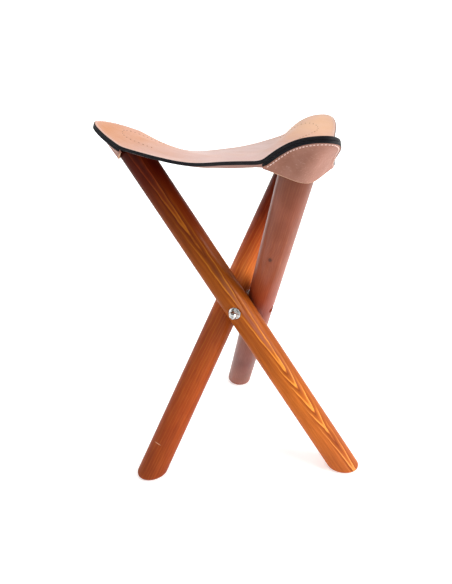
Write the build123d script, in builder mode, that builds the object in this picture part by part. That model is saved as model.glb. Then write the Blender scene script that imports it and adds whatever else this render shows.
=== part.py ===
from build123d import *
import os
from math import atan2, cos, degrees, hypot, pi, radians, sin, sqrt

# Folding tripod stool: three round legs on a three-way bolt carry a leather sling seat.
# Lengths are in millimetres, angles in degrees, +Z is up.
# The origin is on the floor, on the upright line that the three legs lean round.
# Leg 0 leans to the left, leg 1 to the front right and leg 2 to the rear.

names = ["left", "front", "rear"]
leg_azimuths = [180.0, 300.0, 60.0]
leg_pitch_angle = 120.0

# Legs
leg_diameter = 38.0
leg_slope = 55.45
leg_gap = 1.8
crossing_height = 225.5
leg_top_height = 430.0
foot_rounding = 4.0
top_rounding = 2.5

# Three-way bolt
rod_diameter = 6.35
running_clearance = 0.05
washer_play = 0.05
eye_outer_diameter = 16.0
eye_thickness = 7.0
eye_play = 0.15
eye_relief_radius = 11.6
washer_diameter = 16.0
washer_thickness = 1.2
washer_pocket_clearance = 0.6
nut_across_flats = 11.1
cap_nut_hex_height = 5.2
cap_nut_dome_radius = 5.3
cap_nut_height = 12.0
thread_run_in = 4.0
lock_nut_height = 3.4
hex_nut_height = 5.4
bolt_head_height = 4.2
bolt_recess = 1.0
end_chamfer = 0.6

# Leather seat
leather_thickness = 4.0
seat_shift_x = 5.0
seat_shift_y = 2.0
seat_twist = 10.0
tip_overhang = 55.2
tip_radius = 24.0
side_hollow = 7.0
leg_end_clearance = 1.0
ridge_ease = 40.0
left_tip_height = 48.0
front_tip_height = 58.5
rear_tip_height = 37.0
near_side_height = 16.5
right_side_height = 5.0
far_side_height = 0.5
grid_count = 25
grid_margin = 32.0
cut_overrun = 30.0

# Leather pockets round the leg tops
pocket_thickness = 3.0
soft_clearance = 0.4
mouth_depth = 8.0
mouth_slack = 1.2
seam_side_length = 42.0
seam_gap = 0.85
pocket_end_depth = 5.0
pocket_grid_across = 21
pocket_grid_down = 5

# Thread
thread_diameter = 1.0
stitch_length = 2.4
stitch_pitch = 3.6
rim_stitch_drop = 4.0
rim_stitch_end_gap = 3.0
stop_seam_overhang = 15.0
stop_seam_half_width = 18.0
stop_seam_side_length = 30.0
stop_stitch_pitch = 6.5
tangent_share = 0.01

# Worked-out sizes of the legs and their crossing
leg_radius = leg_diameter / 2
lean_run = cos(radians(leg_slope))
lean_rise = sin(radians(leg_slope))
bolt_axis_size = hypot(lean_rise, lean_run / 2)
bolt_axis = Vector(lean_rise / bolt_axis_size, 0, -lean_run / 2 / bolt_axis_size)
pair_distance = leg_diameter + leg_gap
leg_offset = pair_distance / (sqrt(3) * bolt_axis.X)
crossing_shift = sqrt(3) * leg_offset * lean_run / (lean_run**2 + 4 * lean_rise**2)
bolt_centre = Vector(0, leg_offset / 2 + crossing_shift * lean_run * sqrt(3) / 2, crossing_height)
shank_axis = Vector(0, -1, 0)
shank_leg_distance = bolt_centre.Y + leg_offset

# Worked-out sizes of the hardware
rod_radius = rod_diameter / 2
bore_radius = rod_radius + running_clearance
washer_radius = washer_diameter / 2
washer_pocket_radius = washer_radius + washer_pocket_clearance
flat_depth = leg_radius - sqrt(leg_radius**2 - washer_pocket_radius**2)
relief_depth = (eye_thickness - leg_gap) / 2 + eye_play
head_pocket_depth = flat_depth + washer_thickness + bolt_head_height + bolt_recess
nut_pocket_depth = flat_depth + washer_thickness + hex_nut_height + bolt_recess
nut_corner_radius = nut_across_flats / sqrt(3)

# Worked-out sizes of the seat
leg_top_reach = (leg_top_height - crossing_height) * lean_run / lean_rise
tip_reach = leg_top_reach + tip_overhang
side_reach = (tip_reach + tip_radius) / 2
tip_centre_reach = tip_reach - tip_radius
seat_centre = Vector(seat_shift_x, seat_shift_y, 0)
seat_azimuths = [azimuth + seat_twist for azimuth in leg_azimuths]
tip_half_turn = leg_pitch_angle / 2
tip_heights = [left_tip_height, front_tip_height, rear_tip_height]
side_heights = [near_side_height, right_side_height, far_side_height]


def ridge_share_at(reach):
    """How far up a ridge has risen at a reach from the seat's centre, as a share of its tip's."""
    full_run = sqrt(tip_reach**2 + ridge_ease**2) - ridge_ease
    return (sqrt(reach**2 + ridge_ease**2) - ridge_ease) / full_run


# The seat's middle hangs so that the lowest ridge just clears the inner edge of a leg's end
leg_end_inner_reach = leg_top_reach - leg_radius / lean_rise
leg_end_rise = min(tip_heights) * ridge_share_at(leg_end_inner_reach)
seat_low_height = leg_top_height + leg_end_clearance + leather_thickness - leg_end_rise

# Worked-out sizes of the pockets
seam_drop = leather_thickness + pocket_thickness + seam_gap
mouth_height = leg_top_height - mouth_depth
seam_half_arc = tip_radius * radians(tip_half_turn)
seam_half_run = seam_half_arc + seam_side_length
stop_seam_reach = leg_top_reach + stop_seam_overhang
stop_seam_arc = stop_seam_half_width * pi / 2


def outward(azimuth):
    """The level direction that points out at an azimuth."""
    return Vector(cos(radians(azimuth)), sin(radians(azimuth)), 0)


def sideways(azimuth):
    """The level direction a quarter turn on from an azimuth."""
    return Vector(-sin(radians(azimuth)), cos(radians(azimuth)), 0)


def leg_direction(azimuth):
    """The direction from foot to top of the leg that leans to an azimuth."""
    return outward(azimuth) * lean_run + Vector(0, 0, lean_rise)


def leg_point(azimuth, height):
    """The point of a leg's axis at a height above the floor."""
    start = sideways(azimuth) * leg_offset + Vector(0, 0, crossing_height)
    return start + leg_direction(azimuth) * ((height - crossing_height) / lean_rise)


def plan_point(reach, azimuth):
    """The point at a reach from the seat's centre, seen from above."""
    return seat_centre + outward(azimuth) * reach


def seat_height(x, y):
    """Height of the seat's top face: ridges rise to the tips and hollows lie between them."""
    across = x - seat_centre.X
    along = y - seat_centre.Y
    reach = hypot(across, along)
    turn = (degrees(atan2(along, across)) - seat_azimuths[0]) % 360
    corner = round(turn / leg_pitch_angle) % 3
    side = int(turn // leg_pitch_angle)
    ridge_share = ((1 + cos(radians(3 * turn))) / 2) ** 2
    ridge = tip_heights[corner] * ridge_share_at(reach)
    hollow = side_heights[side] * (reach / side_reach) ** 2
    return seat_low_height + ridge_share * ridge + (1 - ridge_share) * hollow


def on_seat(point, drop=0):
    """A plan point lifted to the seat's top face, less a drop."""
    return Vector(point.X, point.Y, seat_height(point.X, point.Y) - drop)


def tip_arc_point(azimuth, turn):
    """A point on the rounded tip of the seat's outline, at a turn from the corner's line."""
    return plan_point(tip_centre_reach, azimuth) + outward(azimuth + turn) * tip_radius


def rim_point(azimuth, share):
    """A point of a pocket's seam, seen from above, from one mouth end (-1) to the other (1)."""
    run = share * seam_half_run
    if abs(run) <= seam_half_arc:
        return tip_arc_point(azimuth, degrees(run / tip_radius))
    side = 1 if run > 0 else -1
    back = sideways(azimuth + side * tip_half_turn) * side
    return tip_arc_point(azimuth, side * tip_half_turn) + back * (abs(run) - seam_half_arc)


def mouth_point(index, share):
    """A point of a pocket's lower edge, which dips under the leg's outer side."""
    ends = []
    for side in (-1, 1):
        plan = rim_point(seat_azimuths[index], side)
        ends.append(on_seat(plan, seam_drop + pocket_end_depth))
    azimuth = leg_azimuths[index]
    stand_off = (leg_radius + soft_clearance + mouth_slack + pocket_thickness) / lean_rise
    middle = leg_point(azimuth, mouth_height) + outward(azimuth) * stand_off
    near = ends[0] * (share * (share - 1) / 2)
    far = ends[1] * (share * (share + 1) / 2)
    return near + middle * (1 - share**2) + far


def pocket_point(index, across, down):
    """A point of a pocket's outer face: across from -1 to 1, down from the seam to the mouth."""
    top = on_seat(rim_point(seat_azimuths[index], across), seam_drop)
    return top + (mouth_point(index, across) - top) * down


def stop_seam_point(azimuth, run):
    """A point of the U-shaped seam that stops a leg's end, at a run along it from its middle."""
    centre = plan_point(stop_seam_reach - stop_seam_half_width, azimuth)
    if abs(run) <= stop_seam_arc:
        turn = degrees(run / stop_seam_half_width)
        return centre + outward(azimuth + turn) * stop_seam_half_width
    side = 1 if run > 0 else -1
    start = centre + sideways(azimuth) * (side * stop_seam_half_width)
    return start - outward(azimuth) * (abs(run) - stop_seam_arc)


def finish(piece, name):
    """Label a piece and write it to its own file."""
    piece.part.label = name
    export_step(piece.part, f"parts/{name}.step")


def add_pin(plane, start, length, radius):
    """A plain round bar along a plane's normal."""
    with BuildSketch(plane.offset(start)) as section:
        Circle(radius)
    extrude(section.sketch, amount=length)


def cut_pin(plane, start, length, radius):
    """A plain round hole along a plane's normal."""
    with BuildSketch(plane.offset(start)) as section:
        Circle(radius)
    extrude(section.sketch, amount=length, mode=Mode.SUBTRACT)


def add_hexagon(plane, start, length):
    """A hexagonal bar of the nuts' size along a plane's normal."""
    with BuildSketch(plane.offset(start)) as section:
        RegularPolygon(nut_corner_radius, 6)
    extrude(section.sketch, amount=length)


def add_ring(plane, start):
    """A washer lying on a plane."""
    with BuildSketch(plane.offset(start)) as section:
        Circle(washer_radius)
        Circle(bore_radius, mode=Mode.SUBTRACT)
    extrude(section.sketch, amount=washer_thickness)


os.makedirs("parts", exist_ok=True)

# Planes whose normals run along the two rods, and along each leg
shank_plane = Plane(origin=bolt_centre, x_dir=(1, 0, 0), z_dir=shank_axis)
front_plane = Plane(origin=bolt_centre, x_dir=(0, 1, 0), z_dir=bolt_axis)
rear_plane = Plane(origin=bolt_centre, x_dir=(0, 1, 0), z_dir=-bolt_axis)

# Distances from the bolt's centre to the faces that the hardware seats on
shank_inner_face = shank_leg_distance - leg_radius
shank_outer_face = shank_leg_distance + leg_radius
pair_inner_face = pair_distance / 2 - leg_radius
pair_outer_face = pair_distance / 2 + leg_radius

# Legs: turned rods cut level at the foot and at the top, bored and faced for the bolt
for index, name in enumerate(names):
    azimuth = leg_azimuths[index]
    foot = leg_point(azimuth, 0)
    leg_plane = Plane(origin=foot, x_dir=sideways(azimuth), z_dir=leg_direction(azimuth))
    rod_length = leg_top_height / lean_rise
    with BuildPart() as leg:
        with BuildSketch(leg_plane.offset(-leg_diameter)):
            Circle(leg_radius)
        extrude(amount=rod_length + 2 * leg_diameter)
        split(bisect_by=Plane.XY, keep=Keep.TOP)
        split(bisect_by=Plane.XY.offset(leg_top_height), keep=Keep.BOTTOM)
        fillet(leg.faces().sort_by(Axis.Z)[0].edges(), radius=foot_rounding)
        fillet(leg.faces().sort_by(Axis.Z)[-1].edges(), radius=top_rounding)
        if name == "left":
            washer_seat = shank_inner_face + flat_depth
            cut_pin(shank_plane, shank_inner_face - leg_radius, leg_diameter * 2, bore_radius)
            cut_pin(shank_plane, 0, washer_seat, washer_pocket_radius)
            outer_seat = shank_outer_face - flat_depth
            cut_pin(shank_plane, outer_seat, leg_radius, washer_pocket_radius)
        else:
            pair_plane = front_plane if name == "front" else rear_plane
            pocket_depth = head_pocket_depth if name == "front" else nut_pocket_depth
            cut_pin(pair_plane, 0, pair_outer_face + leg_radius, bore_radius)
            cut_pin(pair_plane, 0, pair_inner_face + relief_depth, eye_relief_radius)
            outer_seat = pair_outer_face - pocket_depth
            cut_pin(pair_plane, outer_seat, leg_diameter, washer_pocket_radius)
    finish(leg, f"leg_{name}")

# Eye bolt: its eye sits on the long bolt and its shank carries the left leg
cap_seat = shank_outer_face - flat_depth + washer_play + washer_thickness
shank_end = cap_seat + cap_nut_hex_height + thread_run_in
eye_plane = Plane(origin=bolt_centre, x_dir=(0, 1, 0), z_dir=bolt_axis)
with BuildPart() as eye_bolt:
    with BuildSketch(eye_plane.offset(-eye_thickness / 2)):
        Circle(eye_outer_diameter / 2)
    extrude(amount=eye_thickness)
    chamfer(eye_bolt.edges().filter_by(GeomType.CIRCLE), length=end_chamfer)
    shank_start = (eye_outer_diameter / 2 + bore_radius) / 2
    add_pin(shank_plane, shank_start, shank_end - shank_start, rod_radius)
    chamfer(eye_bolt.faces().sort_by(Axis.Y)[0].edges(), length=end_chamfer)
    cut_pin(eye_plane, -eye_thickness, eye_thickness * 2, bore_radius)
finish(eye_bolt, "eye_bolt")

# Lock nut and washer on the eye bolt, on the left leg's inner side
inner_washer_start = shank_inner_face + flat_depth - washer_play - washer_thickness
with BuildPart() as inner_washer:
    add_ring(shank_plane, inner_washer_start)
finish(inner_washer, "eye_bolt_inner_washer")

with BuildPart() as lock_nut:
    add_hexagon(shank_plane, inner_washer_start - lock_nut_height, lock_nut_height)
    cut_pin(shank_plane, 0, shank_inner_face + leg_radius, bore_radius)
finish(lock_nut, "eye_bolt_lock_nut")

# Washer and domed cap nut on the eye bolt, on the left leg's outer side
with BuildPart() as outer_washer:
    add_ring(shank_plane, cap_seat - washer_thickness)
finish(outer_washer, "eye_bolt_outer_washer")

with BuildPart() as cap_nut:
    add_hexagon(shank_plane, cap_seat, cap_nut_hex_height)
    dome_length = cap_nut_height - cap_nut_dome_radius
    add_pin(shank_plane, cap_seat, dome_length, cap_nut_dome_radius)
    dome_centre = bolt_centre + shank_axis * (cap_seat + dome_length)
    with Locations(dome_centre):
        Sphere(cap_nut_dome_radius)
    cut_pin(shank_plane, 0, shank_end + end_chamfer, bore_radius)
finish(cap_nut, "eye_bolt_cap_nut")

# Long bolt through the eye and the other two legs, with sunk head and nut
head_seat = pair_outer_face - head_pocket_depth + washer_play + washer_thickness
nut_seat = pair_outer_face - nut_pocket_depth + washer_play + washer_thickness
bolt_end = nut_seat + hex_nut_height + end_chamfer
with BuildPart() as long_bolt:
    add_pin(rear_plane, -head_seat, head_seat + bolt_end, rod_radius)
    rod_end = long_bolt.faces().sort_by(Axis((0, 0, 0), bolt_axis))[0]
    chamfer(rod_end.edges(), length=end_chamfer)
    add_hexagon(front_plane, head_seat, bolt_head_height)
    head_end = long_bolt.faces().sort_by(Axis((0, 0, 0), bolt_axis))[-1]
    chamfer(head_end.edges(), length=end_chamfer)
finish(long_bolt, "long_bolt")

with BuildPart() as head_washer:
    add_ring(front_plane, head_seat - washer_thickness)
finish(head_washer, "long_bolt_head_washer")

with BuildPart() as nut_washer:
    add_ring(rear_plane, nut_seat - washer_thickness)
finish(nut_washer, "long_bolt_nut_washer")

with BuildPart() as hex_nut:
    add_hexagon(rear_plane, nut_seat, hex_nut_height)
    cut_pin(rear_plane, 0, bolt_end + end_chamfer, bore_radius)
finish(hex_nut, "long_bolt_nut")

# Seat panel: one hide triangle, dished between the tips that the legs hold up
grid_half = tip_reach + grid_margin
grid_rows = []
for row in range(grid_count):
    grid_row = []
    for column in range(grid_count):
        grid_x = seat_centre.X + grid_half * (2 * column / (grid_count - 1) - 1)
        grid_y = seat_centre.Y + grid_half * (2 * row / (grid_count - 1) - 1)
        grid_row.append(on_seat(Vector(grid_x, grid_y, 0)))
    grid_rows.append(grid_row)
seat_face = Face.make_surface_from_array_of_points(grid_rows)
with BuildPart() as seat_panel:
    thicken(seat_face, amount=leather_thickness)
    with BuildSketch(Plane.XY.offset(seat_low_height - cut_overrun)):
        with BuildLine():
            for azimuth in seat_azimuths:
                tip_start = tip_arc_point(azimuth, -tip_half_turn)
                tip_end = tip_arc_point(azimuth, tip_half_turn)
                ThreePointArc(tip_start, tip_arc_point(azimuth, 0), tip_end)
                side_middle = plan_point(side_reach - side_hollow, azimuth + tip_half_turn)
                next_start = tip_arc_point(azimuth + leg_pitch_angle, -tip_half_turn)
                ThreePointArc(tip_end, side_middle, next_start)
        make_face()
    extrude(amount=max(tip_heights) + 2 * cut_overrun, mode=Mode.INTERSECT)
finish(seat_panel, "seat_panel")

# Pockets: a leather sheet sewn under each corner takes the top of a leg
for index, name in enumerate(names):
    rows = []
    for step in range(pocket_grid_down):
        down = step / (pocket_grid_down - 1)
        shares = [2 * count / (pocket_grid_across - 1) - 1 for count in range(pocket_grid_across)]
        rows.append([pocket_point(index, share, down) for share in shares])
    pocket_face = Face.make_surface_from_array_of_points(rows)
    inward = plan_point(0, 0) - plan_point(tip_reach, seat_azimuths[index])
    with BuildPart() as pocket:
        thicken(pocket_face, amount=pocket_thickness, normal_override=inward)
    finish(pocket, f"pocket_{name}")

# Rim seams: the stitches that join each pocket to the seat, on the pocket's outer face
for index, name in enumerate(names):
    azimuth = seat_azimuths[index]
    half_run = seam_half_run - rim_stitch_end_gap
    pairs = int(half_run // stitch_pitch)
    with BuildPart() as rim_seam:
        for count in range(-pairs, pairs + 1):
            share = count * stitch_pitch / seam_half_run
            top = pocket_point(index, share, 0)
            bottom = pocket_point(index, share, 1)
            down = (bottom - top).normalized()
            later = pocket_point(index, share + tangent_share, 0)
            earlier = pocket_point(index, share - tangent_share, 0)
            tangent = (later - earlier).normalized()
            normal = down.cross(tangent).normalized()
            if normal.dot(outward(azimuth)) < 0:
                normal = -normal
            lift = soft_clearance + thread_diameter / 2
            centre = top + down * rim_stitch_drop + normal * lift
            with BuildSketch(Plane(origin=centre - tangent * stitch_length / 2, z_dir=tangent)):
                Circle(thread_diameter / 2)
            extrude(amount=stitch_length)
    finish(rim_seam, f"rim_seam_{name}")

# Stop seams: U-shaped rows of stitches on the seat's top face, round each leg's end
for index, name in enumerate(names):
    azimuth = seat_azimuths[index]
    half_run = stop_seam_arc + stop_seam_side_length
    pairs = int(half_run // stop_stitch_pitch)
    with BuildPart() as stop_seam:
        for count in range(-pairs, pairs + 1):
            run = count * stop_stitch_pitch
            lift = soft_clearance + thread_diameter / 2
            first = on_seat(stop_seam_point(azimuth, run - stitch_length / 2), -lift)
            last = on_seat(stop_seam_point(azimuth, run + stitch_length / 2), -lift)
            with BuildSketch(Plane(origin=first, z_dir=last - first)):
                Circle(thread_diameter / 2)
            extrude(amount=(last - first).length)
    finish(stop_seam, f"stop_seam_{name}")
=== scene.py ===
import bpy
from math import cos, pi, radians, sin
from mathutils import Matrix, Vector, noise
import numpy as np


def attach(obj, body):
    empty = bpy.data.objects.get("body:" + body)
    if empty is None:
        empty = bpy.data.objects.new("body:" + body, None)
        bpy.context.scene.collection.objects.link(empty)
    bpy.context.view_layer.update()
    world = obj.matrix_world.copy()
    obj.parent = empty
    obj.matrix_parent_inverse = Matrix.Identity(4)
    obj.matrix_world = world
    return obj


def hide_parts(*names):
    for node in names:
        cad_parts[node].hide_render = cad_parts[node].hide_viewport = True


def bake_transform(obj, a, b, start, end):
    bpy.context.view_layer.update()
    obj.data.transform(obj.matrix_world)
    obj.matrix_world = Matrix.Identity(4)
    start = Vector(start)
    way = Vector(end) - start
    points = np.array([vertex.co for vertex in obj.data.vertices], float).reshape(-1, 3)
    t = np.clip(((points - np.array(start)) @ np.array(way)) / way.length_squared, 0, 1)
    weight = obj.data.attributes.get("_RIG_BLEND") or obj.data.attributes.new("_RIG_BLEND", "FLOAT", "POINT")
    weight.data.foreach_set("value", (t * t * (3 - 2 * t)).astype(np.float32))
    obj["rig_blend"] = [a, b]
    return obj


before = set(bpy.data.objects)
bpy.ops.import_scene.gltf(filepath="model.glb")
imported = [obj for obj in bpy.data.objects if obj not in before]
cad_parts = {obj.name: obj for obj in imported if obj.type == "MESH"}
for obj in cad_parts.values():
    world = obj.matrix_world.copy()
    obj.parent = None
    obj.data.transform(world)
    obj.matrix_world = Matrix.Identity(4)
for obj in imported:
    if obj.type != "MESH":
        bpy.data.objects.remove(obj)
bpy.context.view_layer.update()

bl_info = {
    "name": "Folding tripod stool",
    "version": (1, 0, 0),
    "blender": (4, 5, 0),
    "location": "View3D > Sidebar > Stool",
    "description": "Leather sling seat, sewn leg pockets, varnished legs and bright hardware",
    "category": "Add Mesh",
}

MM = 0.001

# The stool's own sizes, in millimetres, as the solids have them. A leg's centre line passes the
# upright line at the offset, and the seat's corners are turned a little further round than the legs.
LEGS = ("left", "front", "rear")
LEG_AZIMUTHS = {"left": 180.0, "front": 300.0, "rear": 60.0}
CORNER_AZIMUTHS = {"left": 190.0, "front": 310.0, "rear": 70.0}
SEAT_CENTRE = np.array([5.0, 2.0])
LEG_LEAN = radians(55.45)
LEG_OFFSET = 24.298
CROSSING_HEIGHT = 225.5
LEG_TOP = 430.0
LEG_RADIUS = 19.0
EYE_BOLT_AXIS = (0, -1, 0)
LONG_BOLT_AXIS = (0.945531, 0, -0.325531)
BOLT_THREAD_PITCH = 1.27

# How far down a leg's centre line the mouth of its pocket lies
MOUTH_DEPTH = {"left": 13.0, "front": 6.5, "rear": 6.5}

# The seat's upper edge at each corner, in the order that the edge runs: the end of the pocket,
# the shoulder, the tip, the other shoulder and the pocket's other end.
# Each is the reach from the seat's centre, the distance across and the height.
CORNER_EDGE = {
    "left": [
        (150.5, -44.5, 445.5), (183.7, -20.6, 460.0), (195.4, 0.0, 463.2),
        (182.1, 19.6, 454.7), (148.8, 44.8, 440.0)],
    "front": [
        (146.7, -48.6, 446.3), (180.2, -20.2, 471.4), (195.4, -1.2, 473.6),
        (181.3, 18.3, 466.1), (143.6, 36.0, 439.6)],
    "rear": [
        (145.0, -39.0, 432.2), (181.7, -18.7, 445.9), (195.5, 0.8, 452.0),
        (182.6, 20.9, 451.1), (147.1, 44.1, 426.8)],
}
# The hollow edge that follows each corner, as far as the next one
SIDE_EDGE = {
    "left": [(108.3, -42.0, 432.6), (105.6, 0.0, 431.3), (108.3, 42.0, 437.4)],
    "front": [(102.0, -42.0, 424.5), (97.0, 0.0, 419.9), (104.0, 42.0, 422.6)],
    "rear": [(109.1, -42.0, 415.7), (104.2, 0.0, 414.3), (109.2, 42.0, 414.8)],
}
# The height at which the seat's bend is measured out from its centre
BEND_HEIGHT = 420.0

# The order of the finishes on a third of the seat, and on a pocket
UPPER, LOWER, EDGE = 0, 1, 2
SEWN, FLESH, MOUTH = 0, 1, 2

# A seat third carries how far each point lies inside the edge, which is under zero on the cut and below
IN_MIDDLE = 100.0
ON_CUT = -1.0
BELOW = -2.0

CAMERA_PLACE = (0.21457, -0.67994, 0.55537)
CAMERA_FORWARD = (-0.30534, 0.86131, -0.40610)
CAMERA_RIGHT = (0.94466, 0.32768, -0.01531)
CAMERA_SENSOR = 36.0
CAMERA_LENS = 35.13

# Each lamp's name, the setting that holds its power, its width, place, aim and tint, in metres
LAMPS = (
    ("overhead", "key", 1.6, (-0.35, 0.25, 1.9), (0, 0, 0.3), (1.0, 0.985, 0.96)),
    ("right_side", "side", 0.9, (1.5, -0.1, 0.9), (0, 0, 0.25), (1.0, 0.95, 0.92)),
)

# The grain, the stain and the painted light and shade of each leg, with lengths in millimetres.
# facing: the side that the arches of the grain face, in degrees round the leg
# drift: how far the middle of the arches moves sideways from the foot to the top
# ring, rings_met, start: a ring's width, how many rings run out, and where in a ring the foot lies
# flare, nose, slant: how fast an arch spreads, how blunt its tip is, and how far it leans
# pale, sides, reach: strength of the lines, what is left of it at the sides, and how far they spread
# bands, seed: strength of the dark bands, and where in the noise the unevenness is read
# run_out: the share of the rings that has run out at each share of the length
# second: the stain's other colour
# the rosy stretch, a painted reflection of the bright surroundings in the varnish: from and to along the leg,
# its middle and half its width
# stain: where along the leg, and from where to where across it, one side of the upper leg is darkened by
# painted shade where it faces the seat's underside
# gloss, coat: how much the wood and the varnish shine
# knot, scratches: places of small marks, from the foot the way the arches face, sideways and up
# depth: how much red, green and blue comes through at each share of the length, partly the stain's own depth
# and partly painted shade that darkens each top under the seat and painted light and sheen that make some
# lower stretches paler
LEG_LOOKS = {
    "left": dict(
        facing=38, drift=-12.0, ring=3.8, rings_met=6.65, start=0.75, flare=0.85, nose=2.2, slant=0.0,
        pale=1.0, sides=0.10, reach=9.0, bands=0.35, seed=(4.0, 1.0, 2.0),
        run_out=(
            (0.0, 0.0), (0.137, 0.128), (0.198, 0.278), (0.277, 0.429),
            (0.335, 0.579), (0.60, 0.795), (1.0, 1.0)),
        second=(0.52, 0.15, 0.022), gloss=0.03, coat=0.08,
        painted_reflection=(0.38, 0.66, 0.0, 3.0), stain=(0.64, 0.78, 1.0, 8.0),
        depth=(
            (0.0, (0.98, 0.88, 1.3)), (0.25, (1.0, 0.90, 0.8)), (0.45, (0.76, 0.64, 0.5)),
            (0.64, (0.54, 0.44, 0.22)), (0.80, (0.36, 0.24, 0.08)), (0.92, (0.18, 0.06, 0.03)),
            (1.0, (0.12, 0.04, 0.02)))),
    "front": dict(
        facing=245, drift=6.0, ring=2.6, rings_met=2.0, start=0.1, flare=0.15, nose=12.0, slant=1.0,
        pale=0.045, sides=0.6, reach=60.0, bands=0.18, seed=(9.0, 6.0, 5.0),
        run_out=((0.0, 0.0), (1.0, 1.0)),
        second=(0.26, 0.066, 0.031), gloss=0.10, coat=0.20, knot=(18.8, -2.7, 391.0),
        depth=(
            (0.0, (1.05, 1.25, 1.7)), (0.18, (0.60, 0.50, 0.72)), (0.38, (0.92, 0.96, 1.25)),
            (0.50, (1.05, 0.55, 0.30)), (0.60, (1.0, 0.72, 0.6)), (0.70, (1.0, 0.98, 1.0)),
            (0.92, (0.80, 0.80, 0.85)), (1.0, (0.6, 0.6, 0.6)))),
    "rear": dict(
        facing=133, drift=10.0, ring=3.4, rings_met=3.0, start=0.6, flare=0.25, nose=10.0, slant=0.8,
        pale=0.10, sides=0.5, reach=60.0, bands=0.35, seed=(1.0, 8.0, 7.0),
        run_out=((0.0, 0.0), (1.0, 1.0)),
        second=(0.32, 0.062, 0.014), gloss=0.05, coat=0.11, scratches=((16.8, -8.9, 45.0),),
        depth=(
            (0.0, (0.70, 0.58, 0.52)), (0.2, (0.84, 0.66, 0.56)), (0.45, (0.92, 0.86, 0.64)),
            (0.52, (1.12, 1.06, 0.85)), (0.60, (1.9, 2.25, 2.3)), (0.68, (1.15, 0.98, 1.0)),
            (0.76, (0.48, 0.30, 0.4)), (0.86, (0.28, 0.16, 0.2)), (1.0, (0.14, 0.08, 0.12)))),
}


def a_number(name, default, description, unit="NONE"):
    """A size or a strength that a user may change."""
    return bpy.props.FloatProperty(name=name, default=default, description=description, unit=unit)


def a_colour(name, default, description):
    """A colour that a user may change."""
    return bpy.props.FloatVectorProperty(name=name, subtype="COLOR", default=default, description=description)


class SeatSizes(bpy.types.PropertyGroup):
    leather: a_number("Seat leather", 4.0, "Thickness of the seat's hide, in millimetres")
    pocket: a_number("Pocket leather", 3.0, "Thickness of the pockets' hide, in millimetres")
    rounding: a_number("Edge rounding", 0.9, "Radius of the burnished edges, in millimetres")
    low: a_number("Middle height", 417.8, "Height of the seat's lowest point, in millimetres")
    ridge_ease: bpy.props.FloatVectorProperty(
        name="Ridge ease", default=(600.0, 300.0, 40.0),
        description="How softly the left, front and rear ridges start, in millimetres")
    ridge_width: a_number("Ridge narrowness", 4.0, "How quickly a ridge falls away to its two sides")
    hollow_power: a_number("Hollow curve", 2.45, "How late the hollows rise toward their edge")
    hollow_swing: a_number("Hollow swing", 1.15, "How much later they rise toward the far side")
    ripple: a_number("Ripple", 0.9, "Height of the hide's slow waves, in millimetres")
    fold_width: a_number("Fold width", 10.0, "How softly the hide folds between its corners, in millimetres")
    rings: bpy.props.IntProperty(
        name="Rings", default=40,
        description="Rows of faces from the middle to the edge")
    bend_start: a_number("Bend start", 56.0, "Reach where a corner starts to follow its leg, in millimetres")
    bend_end: a_number("Bend end", 116.0, "Reach where a corner follows its leg fully, in millimetres")


class ThreadSizes(bpy.types.PropertyGroup):
    length: a_number("Stitch", 2.0, "Length of one stitch, in millimetres")
    pitch: a_number("Pitch", 3.6, "Distance from stitch to stitch, in millimetres")
    thickness: a_number("Thread", 1.0, "Diameter of the thread, in millimetres")
    inset: a_number("Inset", 3.0, "Distance of a seam from the edge, in millimetres")
    stop_pitch: a_number("Stop pitch", 6.0, "Distance between the stitches round a leg's end, in millimetres")
    stop_radius: a_number("Stop radius", 18.0, "Radius of the seam's turn round a leg's end, in millimetres")
    stop_reach: a_number(
        "Stop reach", 15.5, "How far the seam's turn lies beyond a leg's middle, in millimetres")
    stop_side: a_number("Stop sides", 32.0, "Length of the seam's two straight sides, in millimetres")
    stop_shift: a_number(
        "Stop shift", 10.0, "How far the left seam lies to the far side of its leg, in millimetres")


class LeatherColours(bpy.types.PropertyGroup):
    grain: a_colour("Grain side", (0.58, 0.38, 0.335), "Natural tan of the seat's upper side")
    warm: a_colour("Warm corners", (0.57, 0.235, 0.092), "Orange tan where the corners are worked")
    flesh: a_colour("Flesh side", (0.235, 0.100, 0.068), "Brown of the rough side")
    cut: a_colour("Cut edge", (0.62, 0.37, 0.23), "Pale tan of the unpainted cut")
    paint: a_colour("Edge paint", (0.008, 0.008, 0.010), "Black of the painted edges")
    thread: a_colour("Thread", (0.74, 0.56, 0.50), "Pale waxed thread")
    stop_thread: a_colour("Stop thread", (0.36, 0.17, 0.10), "Brown waxed thread")


class WoodColours(bpy.types.PropertyGroup):
    left: a_colour("Left leg", (0.46, 0.13, 0.020), "Orange brown of the left leg's stain")
    front: a_colour("Front leg", (0.215, 0.050, 0.020), "Red brown of the front leg's stain")
    rear: a_colour("Rear leg", (0.38, 0.085, 0.016), "Deep orange of the rear leg's stain")
    pale: a_colour("Pale rings", (0.86, 0.36, 0.060), "Yellow of the rings' pale lines")
    dark: a_colour("Dark rings", (0.16, 0.030, 0.007), "Brown beside the pale lines")
    # painted reflection: this rosy colour stands for the bright surroundings seen in the left leg's varnish
    red: a_colour("Rosy stain", (0.42, 0.16, 0.11), "Rosy stretch of the left leg")


class StageLook(bpy.types.PropertyGroup):
    floor: a_colour("Floor", (0.90, 0.90, 0.90), "Colour of the floor")
    world: a_number("Surround", 0.10, "Strength of the light from all round")
    glow: a_number("Backdrop", 0.70, "Strength of the backdrop's own light, away from the stool")
    key: a_number("Key", 14.0, "Power of the large overhead light", unit="POWER")
    side: a_number("Side", 24.0, "Power of the light at the right", unit="POWER")


# Shapes


def unit(v):
    """Vectors scaled to length one, along the last axis."""
    return v / np.maximum(np.linalg.norm(v, axis=-1, keepdims=True), 1e-9)


def run_lengths(line):
    """The length along a line at each of its points."""
    return np.concatenate([[0], np.cumsum(np.linalg.norm(np.diff(line, axis=0), axis=1))])


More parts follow.
